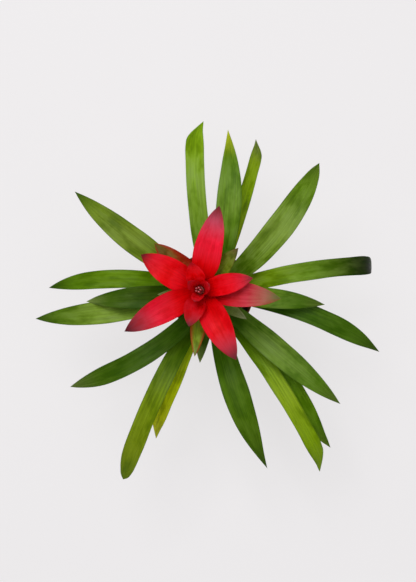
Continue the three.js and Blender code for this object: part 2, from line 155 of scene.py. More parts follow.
class Graph:
    """Adds shader nodes. An input given as a socket is linked, and anything else is its value."""

    def __init__(self, name):
        self.material = bpy.data.materials.new(name)
        self.material.use_nodes = True
        self.tree = self.material.node_tree
        self.shader = self.tree.nodes["Principled BSDF"]

    def fill(self, node, inputs):
        for key, value in inputs.items():
            socket = node.inputs[key]
            if isinstance(value, bpy.types.NodeSocket):
                self.tree.links.new(value, socket)
            else:
                socket.default_value = value
        return node

    def add(self, kind, settings, inputs):
        node = self.tree.nodes.new("ShaderNode" + kind)
        for key, value in settings.items():
            setattr(node, key, value)
        return self.fill(node, inputs)

    def math(self, operation, a, b=0.0):
        return self.add("Math", {"operation": operation}, {0: a, 1: b}).outputs[0]

    def remap(self, value, low, high, to_low=0.0, to_high=1.0):
        names = ("Value", "From Min", "From Max", "To Min", "To Max")
        inputs = dict(zip(names, (value, low, high, to_low, to_high)))
        return self.add("MapRange", {"interpolation_type": "SMOOTHSTEP"}, inputs).outputs[0]

    def mix(self, factor, a, b, blend="MIX"):
        settings = {"data_type": "RGBA", "blend_type": blend}
        return self.add("Mix", settings, {0: factor, 6: a, 7: b}).outputs[2]

    def noise(self, vector, scale, detail=2.0, roughness=0.5):
        inputs = {"Vector": vector, "Scale": scale, "Detail": detail, "Roughness": roughness}
        return self.add("TexNoise", {}, inputs).outputs[0]

    def stretch(self, vector, factors, offset=(0, 0, 0)):
        inputs = {0: vector, 1: factors, 2: offset}
        return self.add("VectorMath", {"operation": "MULTIPLY_ADD"}, inputs).outputs[0]

    def ramp(self, value, stops):
        node = self.add("ValToRGB", {}, {0: value})
        ramp = node.color_ramp
        while len(ramp.elements) < len(stops):
            ramp.elements.new(0.5)
        for element, (place, colour) in zip(ramp.elements, stops):
            element.position = place
            element.color = linear(colour)
        return node.outputs[0]

    def bump(self, height, distance, strength, normal=None):
        inputs = {"Height": height, "Distance": distance, "Strength": strength}
        if normal is not None:
            inputs["Normal"] = normal
        return self.add("Bump", {}, inputs).outputs[0]

    def place(self):
        return self.add("TexCoord", {}, {}).outputs["Object"]

    def finish(self, **inputs):
        named = {key.replace("_", " "): value for key, value in inputs.items()}
        self.fill(self.shader, named)
        return self.material


def blade_material(name, look, seed):
    """A strap's upper face: colours along it, a painted sheen, dark patches, streaks, margins and
    veins.
    """
    graph = Graph(name)
    uv = graph.add("UVMap", {"uv_map": "UVMap"}, {}).outputs[0]
    parts = graph.add("SeparateXYZ", {}, {0: uv}).outputs
    across, along = parts[0], parts[1]

    streak_place = graph.stretch(uv, (look["streaks"], 2.6, 0), (seed, 0, 0))
    streaks = graph.noise(streak_place, 1.0, 4.0, 0.62)
    fibre_place = graph.stretch(uv, (look["streaks"] * 4, 5.0, 0), (0, seed, 0))
    fibres = graph.noise(fibre_place, 1.0, 2.0)
    patch_place = graph.stretch(uv, (1.7, look["patches"], 0), (seed, seed, 0))
    patches = graph.noise(patch_place, 1.0, 3.0, 0.6)

    # The colour bleeds along the streaks, so that no band has a straight edge.
    shift = graph.math("MULTIPLY", graph.math("SUBTRACT", streaks, 0.5), look["bleed"])
    colour = graph.ramp(graph.math("ADD", along, shift), look["stops"])

    # A pale painted sheen, a painted highlight, lies in patches on the arch where the blade faces
    # up to the light, and darker patches lie all over.
    arch_start = graph.remap(along, 0.2, 0.42)
    arch_end = graph.remap(along, 0.74, 0.97, 1.0, 0.0)
    arch = graph.math("MULTIPLY", arch_start, arch_end)
    sheen_cover = graph.remap(patches, 0.36, 0.66, 0.0, look["painted_sheen_amount"])
    painted_sheen = graph.math("MULTIPLY", sheen_cover, arch)
    colour = graph.mix(painted_sheen, colour, linear(look["painted_sheen"]))
    shade = graph.remap(patches, 0.3, 0.55, look["dark_amount"], 0.0)
    colour = graph.mix(shade, colour, linear(look["dark"]))
    strands = graph.mix(0.3, streaks, fibres)
    tone = graph.remap(strands, 0.3, 0.7, 1 - look["streak_depth"], 1 + look["streak_depth"])
    grey = graph.add("CombineColor", {}, {0: tone, 1: tone, 2: tone}).outputs[0]
    colour = graph.mix(1.0, colour, grey, "MULTIPLY")

    signed = graph.math("SUBTRACT", graph.math("MULTIPLY", across, 2.0), 1.0)
    from_middle = graph.math("ABSOLUTE", signed)
    near_margin = graph.remap(from_middle, look["margin_from"], 1.0)
    edge = graph.math("MULTIPLY", near_margin, look["margin_amount"])
    colour = graph.mix(edge, colour, linear(look["margin"]))

    veins = graph.math("SINE", graph.math("MULTIPLY", across, 6.2832 * look["veins"]))
    normal = graph.bump(veins, 0.00006, look["vein_depth"])
    normal = graph.bump(streaks, 0.0006, 0.35, normal)
    gloss = graph.remap(patches, 0.3, 0.7, look["roughness"] + 0.05, look["roughness"] - 0.05)
    return graph.finish(
        Base_Color=colour,
        Roughness=gloss,
        Normal=normal,
        Specular_IOR_Level=look["specular"],
    )


# ---- blades: reading the CAD solids ----


def joined(node):
    """A CAD node's points with coincident ones joined, and each one's neighbours."""
    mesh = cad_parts[node].data
    spots, index = {}, []
    for vertex in mesh.vertices:
        key = tuple(round(c * WELD) for c in vertex.co)
        index.append(spots.setdefault(key, len(spots)))
    neighbours = [set() for _ in spots]
    for polygon in mesh.polygons:
        corners = {index[v] for v in polygon.vertices}
        for corner in corners:
            neighbours[corner] |= corners - {corner}
    return np.array(list(spots), float) / WELD, neighbours


def layers_from(start, neighbours):
    """The points one step away from the start, then two steps, and so on."""
    seen, layers = {start}, [{start}]
    while True:
        reached = set().union(*(neighbours[i] for i in layers[-1])) - seen
        if not reached:
            return layers[1:]
        seen |= reached
        layers.append(reached)


def ordered_rings(layers, neighbours, points):
    """The rings, each in the same order round the section, from the tip to the base."""
    ring = [min(layers[0])]
    for _ in range(RING_SIZE - 1):
        beside = neighbours[ring[-1]] & layers[0] - set(ring)
        ring.append(min(beside))
    best = None
    for walk in (ring, ring[::-1]):
        rings = [walk]
        for layer in layers[1:]:
            last = rings[-1]
            pairs = zip(last, last[1:] + last[:1])
            rings.append([min(neighbours[a] & neighbours[b] & layer) for a, b in pairs])
        spots = points[np.array(rings)]
        travel = np.linalg.norm(np.diff(spots, axis=0), axis=2).sum()
        if best is None or travel < best[0]:
            best = (travel, spots)
    return best[1]


def blade_grid(node):
    """Rows of points across the middle of a CAD blade, from base to tip, and its upward side."""
    points, neighbours = joined(node)
    # The tip is the point from which every layer is a whole ring.
    for tip, beside in enumerate(neighbours):
        if len(beside) == RING_SIZE:
            layers = layers_from(tip, neighbours)
            if all(len(layer) == RING_SIZE for layer in layers):
                break
    spots = ordered_rings(layers, neighbours, points)[::-1]
    half = RING_SIZE // 2
    widest = spots[len(spots) // 2]
    spans = [np.linalg.norm(widest[i] - widest[i + half]) for i in range(half)]
    spots = np.roll(spots, -int(np.argmax(spans)), axis=1)
    upper, lower = spots[:, 1:half], spots[:, :half:-1]
    if upper[:, :, 2].sum() < lower[:, :, 2].sum():
        upper, lower = lower, upper
    rows = np.concatenate([spots[:, :1], (upper + lower) / 2, spots[:, half : half + 1]], axis=1)
    apex = np.repeat(points[tip][None, None], COLUMNS, axis=1)
    return np.concatenate([rows, apex]), (upper - lower).mean(axis=1)


# ---- blades: building the fine surfaces ----


def fine_grid(node, rows, columns):
    """The blade's middle surface, finely sampled, with its rows' and columns' places.

    The upward side of each row and the blade's length come after them.
    """
    grid, upward = blade_grid(node)
    steps = np.linalg.norm(np.diff(grid, axis=0), axis=2).mean(axis=1)
    knots = np.concatenate([[0], np.cumsum(steps)])
    share = np.linspace(0, 1, rows + 1)
    at = knots[-1] * (1 - (1 - share) ** ROW_CROWDING)
    surface = cubic(grid, knots, at)
    across = np.sin(np.linspace(-1, 1, columns) * math.pi / 2)
    coarse = np.linspace(-1, 1, COLUMNS)
    surface = cubic(surface.transpose(1, 0, 2), coarse, across).transpose(1, 0, 2)
    upward = cubic(upward, knots[:-1], np.minimum(at, knots[-2]))
    return surface, at / knots[-1], across, upward, knots[-1]


def surface_normals(surface, upward):
    """Unit normals of a grid of points, on its upward side."""
    down_rows = np.gradient(surface, axis=0)
    across = np.gradient(surface, axis=1)
    normals = np.cross(down_rows, across)
    size = np.linalg.norm(normals, axis=2, keepdims=True)
    normals = normals / np.maximum(size, 1e-12)
    normals[-1] = normals[-2].mean(axis=0)
    sign = np.sign((normals * upward[:, None]).sum(axis=(0, 1, 2)))
    normals *= sign
    return normals / np.linalg.norm(normals, axis=2, keepdims=True)


def signed_volume(spots, faces):
    """Six times the volume inside the faces, negative where they face inwards."""
    total = 0
    for face in faces:
        for second, third in zip(face[1:], face[2:]):
            total += np.dot(spots[face[0]], np.cross(spots[second], spots[third]))
    return total


def waved(surface, along, across, upward, length, wave, seed):
    """The surface with waved margins, faint lengthwise folds and soft lumps."""
    rng = random.Random(seed)
    free = smoothstep(along, wave["from"], wave["from"] + 0.25)[:, None]
    lift = np.zeros(surface.shape[:2])
    for side in (-1, 1):
        reach = np.clip(across * side, 0, 1)[None] ** 3
        for _ in range(2):
            turns = length / (wave["length"] * rng.uniform(0.7, 1.4))
            phase = rng.uniform(0, 2 * math.pi)
            lift += reach * wave["height"] * np.sin(2 * math.pi * turns * along + phase)[:, None]
    folds = rng.uniform(2.4, 3.4)
    lift += wave["fold"] * np.cos(folds * math.pi * across + rng.uniform(-0.4, 0.4))[None]
    for row in range(surface.shape[0]):
        for column in range(surface.shape[1]):
            spot = Vector(surface[row, column]) * wave["lump_scale"]
            lift[row, column] += wave["lump"] * noise.noise(spot + Vector((seed, 0, 0)))
    width = np.linalg.norm(surface[:, 0] - surface[:, -1], axis=1)
    lift *= free * smoothstep(width, 0, width.max() * 0.5)[:, None]
    return surface + surface_normals(surface, upward) * lift[:, :, None]


def strap_faces(count, columns):
    """The faces of a closed strap with a pointed tip, and 0 or 1 for each, upper or lower.

    Its points are count rows of columns on the upper side, then the same rows on the lower
    side without their two ends, then the tip.
    """
    inner = columns - 2
    tip = count * (columns + inner)

    def top(row, column):
        return row * columns + column

    def under(row, column):
        if column in (0, columns - 1):
            return top(row, column)
        return count * columns + row * inner + column - 1

    faces, sides = [], []
    for column in range(columns - 1):
        for row in range(count - 1):
            here, beside = (row, column), (row, column + 1)
            on, across_on = (row + 1, column), (row + 1, column + 1)
            faces.append((top(*here), top(*beside), top(*across_on), top(*on)))
            faces.append((under(*here), under(*on), under(*across_on), under(*beside)))
            sides += [0, 1]
        faces.append((top(count - 1, column), top(count - 1, column + 1), tip))
        faces.append((under(count - 1, column + 1), under(count - 1, column), tip))
        sides += [0, 1]
        cap = [top(0, column + 1), top(0, column), under(0, column), under(0, column + 1)]
        faces.append(tuple(dict.fromkeys(cap)))
        sides.append(1)
    return faces, sides


def blade(node, slot, thickness, grid, wave, materials, seed):
    """A closed thin strap along a CAD blade."""
    surface, along, across, upward, length = fine_grid(node, *grid)
    surface = waved(surface, along, across, upward, length, wave, seed)
    body, normals = surface[:-1], surface_normals(surface, upward)[:-1]
    half = thickness / 2 * np.sqrt(1 - across**2)[None, :, None]
    upper = body + normals * half
    lower = (body - normals * half)[:, 1:-1]
    points = np.concatenate([upper.reshape(-1, 3), lower.reshape(-1, 3), surface[-1, :1]])
    faces, sides = strap_faces(*body.shape[:2])
    if signed_volume(points, faces) < 0:
        faces = [face[::-1] for face in faces]

    place = np.stack(np.broadcast_arrays((across[None] + 1) / 2, along[:-1, None]), axis=2)
    uv = np.concatenate([place.reshape(-1, 2), place[:, 1:-1].reshape(-1, 2), [[0.5, 1.0]]])
    piece = object_from(node + "_blade", points, faces, materials, sides, uv)
    return attach(piece, slot, node)


# ---- looks of the leaves ----

# streaks: noise cells across the blade     streak_depth: how far they lighten and darken it
# patches: noise cells along the blade      bleed: how far its colours run along the streaks
# sheen (a painted highlight), dark and margin: colours laid over its own, each with the amount
# that shows
# margin_from: where the margins start, from 0 in the middle to 1 at the edge
# veins: fine ridges across the blade       roughness and specular: its gloss
LEAF_LOOK = {
    "streaks": 20.0,
    "streak_depth": 0.26,
    "bleed": 0.14,
    "patches": 6.5,
    "painted_sheen": "#8aa650",
    "painted_sheen_amount": 0.1,
    "dark": "#2a4e00",
    "dark_amount": 0.5,
    "margin": "#2a4c04",
    "margin_from": 0.9,
    "margin_amount": 0.4,
    "veins": 38.0,
    "vein_depth": 0.2,
    "roughness": 0.34,
    "specular": 0.06,
}

# Colours from where a leaf leaves its sheath to its tip.
LEAF_COLOURS = {
    "leaf_east_upper": ("#547410", "#5a7c10", "#668a1e", "#486c0c", "#5d6e2c"),
    "leaf_west_upper": ("#3a5c02", "#2e4c00", "#345000", "#40600a", "#7c9046"),
    # Partly its own deep green and partly painted shade from the bracts and leaves over it.
    "leaf_north_upper": ("#4c7406", "#4e7a04", "#6a8f20", "#5c8410", "#b8c020"),
    "leaf_southeast_upper": ("#365c02", "#486e0c", "#6a8a2c", "#567c10", "#5b6e2a"),
    "leaf_northeast": ("#4c7200", "#5c7e02", "#7c9830", "#608408", "#5c7424"),
    # Partly its own deep green and partly painted shade from the bracts and leaves over it.
    "leaf_southwest_upper": ("#2f5404", "#345802", "#3c5e04", "#44640c", "#5c6e30"),
    "leaf_northwest": ("#527600", "#667e0a", "#7a9026", "#6c8418", "#3c5a10"),
    # Partly its own deep green and partly painted shade from the bracts and leaves over it.
    "leaf_south": ("#365c02", "#3e6602", "#52760a", "#4c6c0c", "#3a5410"),
    # Painted shade: the last two colours, near black, are the shade where this leaf's tip droops
    # away from the light.
    "leaf_east": ("#84a814", "#80a40a", "#628806", "#142200", "#040800"),
    "leaf_west": ("#4c7a00", "#5c8600", "#6a9002", "#567c06", "#2f4a06"),
    "leaf_north": ("#4c7e06", "#769e22", "#82a822", "#86ac0a", "#729808"),
    "leaf_south_southwest": ("#426602", "#547602", "#7a920a", "#7a8e10", "#5e7604"),
    "leaf_southeast_long": ("#4c7800", "#749a0c", "#90ac1e", "#82a402", "#6e8c08"),
    "leaf_east_lower": ("#305602", "#345c02", "#42660a", "#44680a", "#3a5008"),
    "leaf_west_lower": ("#6e960e", "#789a2c", "#7e9c2c", "#587a10", "#385608"),
    "leaf_north_lower": ("#a8c048", "#a0bc10", "#86a800", "#829e08", "#6c7c30"),
    # Partly its own yellow-green and partly painted light, made paler against the shadow that
    # leaf_south_southwest casts on this leaf.
    "leaf_south_lower": ("#88a804", "#aac00a", "#c2d204", "#c8d004", "#c4c41c"),
    "leaf_southeast_lower": ("#446e02", "#547e00", "#5e8602", "#5a8008", "#5c7418"),
}

# The leaves whose arch carries more of the pale painted sheen.
LEAF_PAINTED_SHEEN = {
    "leaf_northeast": 0.5,
    "leaf_north": 0.5,
    "leaf_north_upper": 0.35,
    "leaf_northwest": 0.3,
    "leaf_west_lower": 0.35,
    "leaf_southeast_upper": 0.3,
    "leaf_east": 0.3,
}

# from: where along the blade the waves start     length and height: of a wave along a margin
# fold: depth of the lengthwise folds              lump and lump_scale: the soft unevenness
LEAF_WAVE = {
    "from": 0.22,
    "length": 70 * MM,
    "height": 0.5 * MM,
    "fold": 0.18 * MM,
    "lump": 0.7 * MM,
    "lump_scale": 28.0,
}

# Every leaf starts with the sheath's colours. Its own five follow, at these shares of its length.
SHEATH_STOPS = [(0.0, "#b9a878"), (0.05, "#8f8a4c"), (0.13, "#5c7420")]
LEAF_PLACES = (0.24, 0.42, 0.62, 0.84, 0.99)
BRACT_PLACES = (0.08, 0.34, 0.6, 0.8, 0.96)


def underside(name, colour, dark):
    """A duller lower face, with streaks and pale specks."""
    graph = Graph(name)
    uv = graph.add("UVMap", {"uv_map": "UVMap"}, {}).outputs[0]
    streaks = graph.noise(graph.stretch(uv, (26, 3, 0)), 1.0, 3.0)
    specks = graph.noise(graph.place(), 900.0, 2.0)
    shade = graph.mix(graph.remap(streaks, 0.3, 0.7), linear(colour), linear(dark))
    shade = graph.mix(graph.remap(specks, 0.6, 0.75, 0.0, 0.25), shade, linear("#b8c09a"))
    normal = graph.bump(streaks, 0.0005, 0.4)
    return graph.finish(Base_Color=shade, Roughness=0.55, Normal=normal, Specular_IOR_Level=0.3)


leaf_underside = underside("leaf_underside", "#6f8a34", "#4f6e1c")


def build_leaves():
    for seed, (node, colours) in enumerate(LEAF_COLOURS.items(), start=LEAF_FIRST_SEED):
        painted_sheen = LEAF_PAINTED_SHEEN.get(node, LEAF_LOOK["painted_sheen_amount"])
        stops = SHEATH_STOPS + list(zip(LEAF_PLACES, colours))
        look = {**LEAF_LOOK, "painted_sheen_amount": painted_sheen, "stops": stops}
        upper = blade_material(node + "_skin", look, seed * LEAF_SKIN_STEP)
        blade(node, "leaf", LEAF_THICKNESS, LEAF_GRID, LEAF_WAVE, [upper, leaf_underside], seed)


# ---- looks of the bracts ----

RED_LOOK = {
    **LEAF_LOOK,
    "streaks": 16.0,
    "streak_depth": 0.1,
    "bleed": 0.2,
    "patches": 4.0,
    # Painted highlight: the red bracts' sheen colour is a pale pink.
    "painted_sheen": "#f4506c",
    "dark": "#b40002",
    "dark_amount": 0.35,
    "margin": "#c80a1c",
    "veins": 26.0,
    "roughness": 0.38,
    "specular": 0.05,
}

# Colours from the stalk out to the tip.
CUP_REDS = ("#c80406", "#d4060a", "#e00810", "#dc1222", "#ac2832")
RED_BRACTS = {
    # The pink third colour here is partly the bract's own tint and partly a painted sheen.
    "star_bract_north": ("#c80000", "#ee0208", "#f81c38", "#c44058", "#643034"),
    "star_bract_northwest": ("#d80002", "#ee0006", "#f2040e", "#e00c20", "#641a1e"),
    "star_bract_west": ("#c40002", "#e00208", "#e8102e", "#a03440", "#50242a"),
    "star_bract_south": ("#d00002", "#e60008", "#f00614", "#c42c3c", "#6c303a"),
    "star_bract_east_lower": ("#b40002", "#cc040a", "#c83440", "#a86a56", "#66703c"),
    "star_bract_east_upper": ("#c80002", "#ee0006", "#f40618", "#dc2036", "#8c2c34"),
    "heart_bract_south": ("#b40000", "#c80002", "#cc020a", "#ac141e", "#702c34"),
    # Painted light: these reds are pushed to full red to stand in for light glowing through the
    # bracts in the shaded heart.
    "heart_bract_north": ("#dc0000", "#f80002", "#ff0204", "#ec0a12", "#a01420"),
    "cup_bract_east": CUP_REDS,
    "cup_bract_south": CUP_REDS,
    "cup_bract_west": CUP_REDS,
}

LOW_GREENS = ("#6a7c2c", "#62762a", "#5a7028", "#546a24", "#5c5a24")
GREEN_BRACTS = {
    "stalk_bract_1": LOW_GREENS,
    "stalk_bract_2": LOW_GREENS,
    "stalk_bract_3": LOW_GREENS,
    "stalk_bract_4": LOW_GREENS,
    "stalk_bract_5": ("#5a6e1c", "#44660e", "#3e620c", "#486a18", "#6a7c3a"),
    "stalk_bract_6": ("#66782c", "#5a7422", "#5c7a24", "#6c8638", "#8a9a5c"),
    "stalk_bract_7": ("#66782c", "#4e6c1a", "#587822", "#7a8e4c", "#98a474"),
    "stalk_bract_8": ("#9a2008", "#8a5a0c", "#7c980a", "#8aa81c", "#7c8c4c"),
    "stalk_bract_9": ("#b80402", "#b80a06", "#a4140a", "#704012", "#5c5418"),
    "stalk_bract_10": ("#6c6e10", "#68780c", "#6c7e10", "#667014", "#5c4c20"),
}
# The stalk bracts carry more of the painted sheen than the leaves.
GREEN_LOOK = {**LEAF_LOOK, "painted_sheen_amount": 0.25, "margin": "#5c3c10", "margin_from": 0.8}

# Two of the green bracts have wide red margins.
REDDENED = ("stalk_bract_8", "stalk_bract_9")
REDDENED_LOOK = {**GREEN_LOOK, "margin": "#a0140a", "margin_from": 0.35, "margin_amount": 0.85}

BRACT_WAVE = {
    "from": 0.15,
    "length": 45 * MM,
    "height": 0.25 * MM,
    "fold": 0.12 * MM,
    "lump": 0.4 * MM,
    "lump_scale": 40.0,
}

red_underside = underside("red_bract_underside", "#b01020", "#8c0814")
green_underside = underside("stalk_bract_underside", "#76803a", "#5c6a2a")


def build_bracts():
    for seed, (node, colours) in enumerate(RED_BRACTS.items(), start=RED_BRACT_FIRST_SEED):
        look = {**RED_LOOK, "stops": list(zip(BRACT_PLACES, colours))}
        upper = blade_material(node + "_skin", look, seed * RED_BRACT_SKIN_STEP)
        faces = [upper, red_underside]
        blade(node, "red_bract", BRACT_THICKNESS, RED_BRACT_GRID, BRACT_WAVE, faces, seed)
    for seed, (node, colours) in enumerate(GREEN_BRACTS.items(), start=STALK_BRACT_FIRST_SEED):
        base = REDDENED_LOOK if node in REDDENED else GREEN_LOOK
        look = {**base, "stops": list(zip(BRACT_PLACES, colours))}
        upper = blade_material(node + "_skin", look, seed * STALK_BRACT_SKIN_STEP)
        faces = [upper, green_underside]
        blade(node, "stalk_bract", BRACT_THICKNESS, STALK_BRACT_GRID, BRACT_WAVE, faces, seed)


# ---- round pieces ----


def tube(name, centres, radii, segments, materials, ridges=None):
    """A closed tube through rows of centres, each with its radius."""
    centres = np.asarray(centres, float)
    axes = np.gradient(centres, axis=0)
    axes /= np.linalg.norm(axes, axis=1, keepdims=True)
    points = []
    for row, (centre, axis, radius) in enumerate(zip(centres, axes, radii)):
        side = np.cross(axis, (0, 1, 0))
        side /= np.linalg.norm(side)
        other = np.cross(axis, side)
        for turn in range(segments):
            angle = 2 * math.pi * turn / segments
            grown = radius if ridges is None else radius * ridges(angle, row)
            points.append(centre + grown * (math.cos(angle) * side + math.sin(angle) * other))
    faces = []
    for row in range(len(centres) - 1):
        for turn in range(segments):
            after = (turn + 1) % segments
            a, b = row * segments + turn, row * segments + after
            faces.append((a, b, b + segments, a + segments))
    last = (len(centres) - 1) * segments
    faces.append(tuple(range(segments))[::-1])
    faces.append(tuple(last + turn for turn in range(segments)))
    return object_from(name, points, faces, materials)


def lathe(name, profile, segments, materials, wobble=None):
    """A solid turned about Z, from a profile that starts and ends on the axis."""
    points, faces = [], []
    first = (0, 0, profile[0][1])
    last = (0, 0, profile[-1][1])
    rings = profile[1:-1]
    for radius, height in rings:
        for turn in range(segments):
            angle = 2 * math.pi * turn / segments
            spot = Vector((radius * math.cos(angle), radius * math.sin(angle), height))
            points.append(spot if wobble is None else wobble(spot))
    for ring in range(len(rings) - 1):
        for turn in range(segments):
            after = (turn + 1) % segments
            a, b = ring * segments + turn, ring * segments + after
            faces.append((a, b, b + segments, a + segments))
    start, end = len(points), len(points) + 1
    points += [Vector(first), Vector(last)]
    final = (len(rings) - 1) * segments
    for turn in range(segments):
        after = (turn + 1) % segments
        faces.append((start, after, turn))
        faces.append((end, final + turn, final + after))
    return object_from(name, points, faces, materials)


def rounded(corners, radius, steps=5):
    """A profile with its corners turned into small arcs. The ends stay as they are."""
    corners = [np.array(corner, float) for corner in corners]
    profile = [corners[0]]
    for before, corner, after in zip(corners, corners[1:], corners[2:]):
        back, on = before - corner, after - corner
        cut = min(radius, np.linalg.norm(back) * 0.45, np.linalg.norm(on) * 0.45)
        start = corner + back / np.linalg.norm(back) * cut
        end = corner + on / np.linalg.norm(on) * cut
        for step in range(steps + 1):
            t = step / steps
            profile.append((1 - t) ** 2 * start + 2 * t * (1 - t) * corner + t**2 * end)
    return profile + [corners[-1]]


# ---- pot ----

# The pot's height and rim come from the frame, and these are its other sizes.
POT_WALL = 1.5 * MM
POT_BASE = 39 * MM
POT_FLOOR = 2 * MM
FOOT_INNER = POT_BASE - 5 * MM
FOOT_LIFT = 0.6 * MM  # inside its ring-shaped foot, the base is raised by this
RIM_BAND = 15 * MM
RIM_STEP = 1.6 * MM
HOLE_RADIUS = 4 * MM
HOLE_CIRCLE = 26 * MM
HOLE_COUNT = 6
HOLE_SIDES = 40
POT_EDGE_RADIUS = 0.9 * MM
POT_SIDES = 160


def pot_material():
    graph = Graph("pot_plastic_skin")
    place = graph.place()
    cloud = graph.noise(place, 24.0, 3.0)
    grain = graph.noise(place, 1400.0, 2.0)
    flow = graph.noise(graph.stretch(place, (160, 160, 9)), 1.0, 2.0)
    colour = graph.mix(graph.remap(cloud, 0.3, 0.7), linear("#8c4b34"), linear("#7c3f2b"))
    colour = graph.mix(graph.remap(flow, 0.45, 0.75, 0.0, 0.35), colour, linear("#98593f"))
    normal = graph.bump(grain, 0.0001, 0.35)
    normal = graph.bump(flow, 0.0003, 0.2, normal)
    gloss = graph.remap(cloud, 0.3, 0.7, 0.5, 0.62)
    return graph.finish(Base_Color=colour, Roughness=gloss, Normal=normal, Specular_IOR_Level=0.4)


def build_pot():
    _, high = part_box("nursery_pot")
    top, rim = high.z, high.x
    band = top - RIM_BAND
    body = rim - RIM_STEP
    corners = [
        (0, FOOT_LIFT),
        (FOOT_INNER - 1 * MM, FOOT_LIFT),
        (FOOT_INNER, 0),
        (POT_BASE - 1.2 * MM, 0),
        (POT_BASE, 1.6 * MM),
        (body, band),
        (rim - 0.3 * MM, band),
        (rim, top),
        (rim - POT_WALL, top),
        (rim - POT_WALL, band + POT_WALL),
        (body - POT_WALL, band + POT_WALL),
        (POT_BASE - POT_WALL, POT_FLOOR + 2 * MM),
        (POT_BASE - POT_WALL - 2 * MM, POT_FLOOR),
        (0, POT_FLOOR),
    ]
    pot = lathe("pot", rounded(corners, POT_EDGE_RADIUS), POT_SIDES, [pot_material()])
    work = bmesh.new()
    # Each drill is turned by half a side, so that none of its corners lies on an edge of the pot.
    half_side = Matrix.Rotation(math.pi / HOLE_SIDES, 4, "Z")
    for hole in range(HOLE_COUNT):
        angle = 2 * math.pi * hole / HOLE_COUNT
        shift = Vector((HOLE_CIRCLE * math.cos(angle), HOLE_CIRCLE * math.sin(angle), 0))
        bmesh.ops.create_cone(
            work,
            cap_ends=True,
            segments=HOLE_SIDES,
            radius1=HOLE_RADIUS,
            radius2=HOLE_RADIUS,
            depth=20 * MM,
            matrix=Matrix.Translation(shift) @ half_side,
        )
    drills_mesh = bpy.data.meshes.new("drills")
    work.to_mesh(drills_mesh)
    work.free()
    drills = bpy.data.objects.new("drills", drills_mesh)
    bpy.context.scene.collection.objects.link(drills)
    cut = pot.modifiers.new("holes", "BOOLEAN")
    cut.operation = "DIFFERENCE"
    cut.solver = "EXACT"
    cut.object = drills
    evaluated = pot.evaluated_get(bpy.context.evaluated_depsgraph_get())
    drilled = bpy.data.meshes.new_from_object(evaluated)
    pot.modifiers.clear()
    pot.data = drilled
    bpy.data.objects.remove(drills)
    pot.data.shade_smooth()
    sharpen(pot, 40)
    attach(pot, "pot_plastic", "nursery_pot")


# ---- potting mix ----


def grit_material(name, light, dark, roughness):
    graph = Graph(name)
    place = graph.place()
    tone = graph.noise(place, 260.0, 3.0)
    grain = graph.noise(place, 1500.0, 3.0)
    colour = graph.mix(graph.remap(tone, 0.35, 0.65), linear(light), linear(dark))
    return graph.finish(
        Base_Color=colour,
        Roughness=roughness,
        Normal=graph.bump(grain, 0.0006, 0.8),
        Specular_IOR_Level=0.2,
    )


def outer_profile(node):
    """The greatest radius at each height of a round CAD node, from the bottom up."""
    widest = {}
    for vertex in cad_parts[node].data.vertices:
        height = round(vertex.co.z, 5)
        widest[height] = max(widest.get(height, 0), math.hypot(vertex.co.x, vertex.co.y))
    return sorted(widest.items())


SOIL_SIDES = 200
SOIL_RINGS = 26
SOIL_DIP = 3 * MM  # under the rootstock, where it doesn't show
WELL_LIMIT = POT_BASE * 0.85
GRIT_SEED = 11

# sizes: least and greatest radius in mm     squash: share of it kept along each axis
GRITS = {
    "bark_chips": {
        "count": 520,
        "sizes": (1.2, 2.6),
        "squash": (1.0, 0.65, 0.4),
        "colours": ("#5a3d26", "#2e2016"),
    },
    "peat_crumbs": {
        "count": 900,
        "sizes": (0.5, 1.2),
        "squash": (1.0, 0.9, 0.8),
        "colours": ("#33261b", "#17110c"),
    },
    "perlite": {
        "count": 90,
        "sizes": (0.7, 1.5),
        "squash": (1.0, 0.9, 0.85),
        "colours": ("#e4e0d6", "#c4bfb2"),
    },
}


def soil_surface():
    """The soil's open ring: its inner radius and height there, and its outer radius and height."""
    heights = dict(outer_profile("potting_mix"))
    inner = heights[max(heights)]
    edge_height = sorted(heights)[-2]
    return inner, max(heights), heights[edge_height], edge_height


def ring_height(ring, radius):
    """The height of the soil's ring at a radius, before its lumps."""
    inner, inner_height, outer, outer_height = ring
    return outer_height + (inner_height - outer_height) * (outer - radius) / (outer - inner)


def add_grain(work, rng, grit, ring):
    """One rough grain, squashed, turned at random and half sunk in the soil."""
    inner, _, outer, _ = ring
    share = math.sqrt(rng.uniform((inner / outer) ** 2, 1))
    size = rng.uniform(*grit["sizes"]) * MM
    radius = min(share * outer, outer - size * 1.1)
    angle = rng.uniform(0, 2 * math.pi)
    height = ring_height(ring, radius) + size * rng.uniform(-0.1, 0.35)
    centre = Vector((radius * math.cos(angle), radius * math.sin(angle), height))
    grain = bmesh.ops.create_icosphere(work, subdivisions=1, radius=size)["verts"]
    turn = Vector([rng.uniform(-1, 1) for _ in range(3)]).normalized()
    spin = turn.rotation_difference(Vector((0, 0, 1))).to_matrix()
    own = Vector((size * 9e4, angle, 0))  # its own place in the noise
    for vertex in grain:
        rough = 1 + 0.45 * noise.noise(vertex.co / size * 1.7 + own)
        shaped = Vector([c * s * rough for c, s in zip(vertex.co, grit["squash"])])
        vertex.co = spin @ shaped + centre


